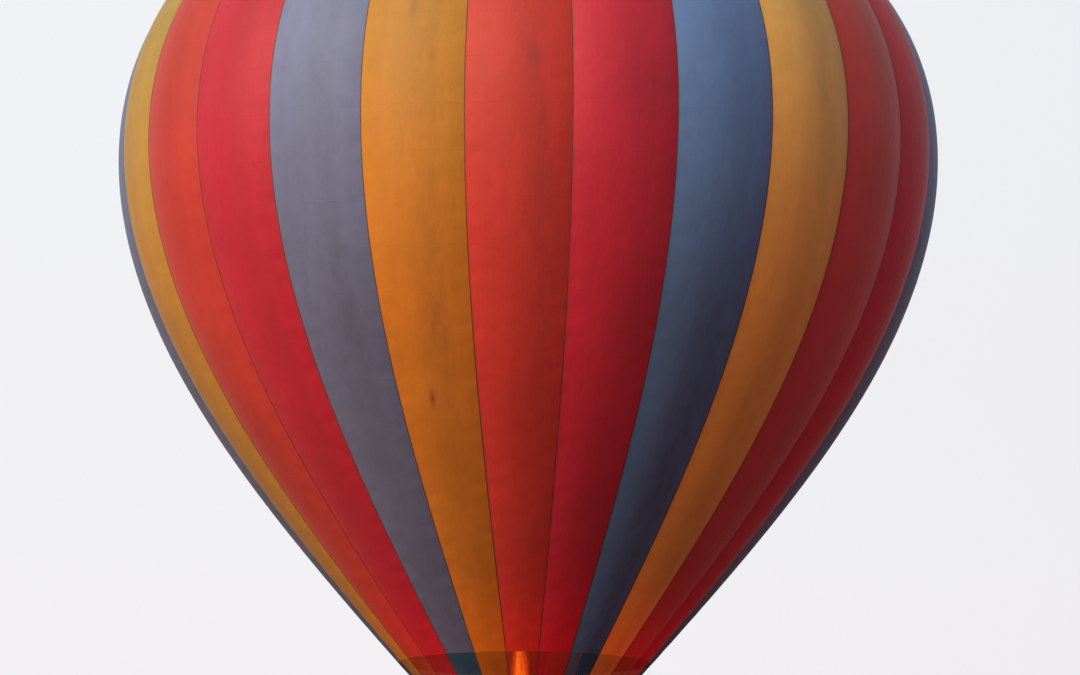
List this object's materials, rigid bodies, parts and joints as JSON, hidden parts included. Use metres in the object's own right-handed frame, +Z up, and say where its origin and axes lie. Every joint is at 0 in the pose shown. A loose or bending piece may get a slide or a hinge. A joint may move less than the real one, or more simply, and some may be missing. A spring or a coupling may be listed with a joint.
{
  "type": "hot air balloon",
  "caption": "Hot air balloon in flight: striped gored envelope with a parachute vent, flying wires, tilting burners in a load frame, and a wicker passenger basket.",
  "frame": {"origin": "centre of the envelope's widest circle, on its vertical axis, where the air holds it up", "axes": "+Z up; +X along the basket's long side; the envelope's front gore faces -Y"},
  "size_m": [26, 26, 31.9485],
  "materials": {
    "orange_cloth": "coated ripstop cloth, orange-red",
    "crimson_cloth": "coated ripstop cloth, crimson",
    "slate_cloth": "coated ripstop cloth, slate",
    "gold_cloth": "coated ripstop cloth, gold",
    "load_tape": "woven load tape, dark",
    "wire": "twisted steel wire",
    "stainless_tube": "satin stainless tube",
    "burner_steel": "heat-tinted stainless steel",
    "padded_leather": "stitched dark brown leather over padding",
    "scuff_leather": "worn hide",
    "plywood": "varnished marine plywood",
    "wicker": "woven willow and cane",
    "runner_wood": "hardwood skids, scuffed",
    "cylinder_alloy": "brushed alloy cylinder"
  },
  "bodies": {
    "balloon": {"gore_01": "orange_cloth", "gore_02": "crimson_cloth", "gore_03": "slate_cloth", "gore_04": "gold_cloth", "gore_05": "orange_cloth", "gore_06": "crimson_cloth", "gore_07": "slate_cloth", "gore_08": "gold_cloth", "gore_09": "orange_cloth", "gore_10": "crimson_cloth", "gore_11": "slate_cloth", "gore_12": "gold_cloth", "gore_13": "orange_cloth", "gore_14": "crimson_cloth", "gore_15": "slate_cloth", "gore_16": "gold_cloth", "gore_17": "orange_cloth", "gore_18": "crimson_cloth", "gore_19": "slate_cloth", "gore_20": "gold_cloth", "gore_21": "orange_cloth", "gore_22": "crimson_cloth", "gore_23": "slate_cloth", "gore_24": "gold_cloth", "crown_ring_and_vent_tapes": "load_tape", "mouth_hem": "load_tape", "flying_wires_front_right": "wire", "flying_wires_rear_right": "wire", "flying_wires_rear_left": "wire", "flying_wires_front_left": "wire", "load_frame": "stainless_tube", "upright_front_right": "padded_leather", "upright_rear_right": "padded_leather", "upright_rear_left": "padded_leather", "upright_front_left": "padded_leather", "basket_floor": "plywood", "basket_wall": "wicker", "partition_left": "wicker", "partition_right": "wicker", "basket_rim": "padded_leather", "scuff_band": "scuff_leather", "runners": "runner_wood", "fuel_cylinder_front_right": "cylinder_alloy", "fuel_cylinder_rear_right": "cylinder_alloy", "fuel_cylinder_rear_left": "cylinder_alloy", "fuel_cylinder_front_left": "cylinder_alloy"},
    "vent_panel": {"parachute_vent": "crimson_cloth"},
    "gimbal": {"gimbal_frame": "stainless_tube"},
    "burners": {"burner_block": "burner_steel", "burner_can_front_right": "burner_steel", "burner_can_rear_right": "burner_steel", "burner_can_rear_left": "burner_steel", "burner_can_front_left": "burner_steel"}
  },
  "joints": [
    {"name": "vent_slide", "type": "slide", "parent": "balloon", "child": "vent_panel", "axis": [0, 0, -1], "range_m": [0, 1.5], "stiffness_N_per_m": 800, "springref_m": -0.5},
    {"name": "gimbal_tilt", "type": "hinge", "parent": "balloon", "child": "gimbal", "pos_m": [0, 0, -20.57305], "axis": [1, 0, 0], "range_deg": [-15, 15]},
    {"name": "burner_tilt", "type": "hinge", "parent": "gimbal", "child": "burners", "pos_m": [0, 0, -20.57305], "axis": [0, 1, 0], "range_deg": [-15, 15]}
  ]
}
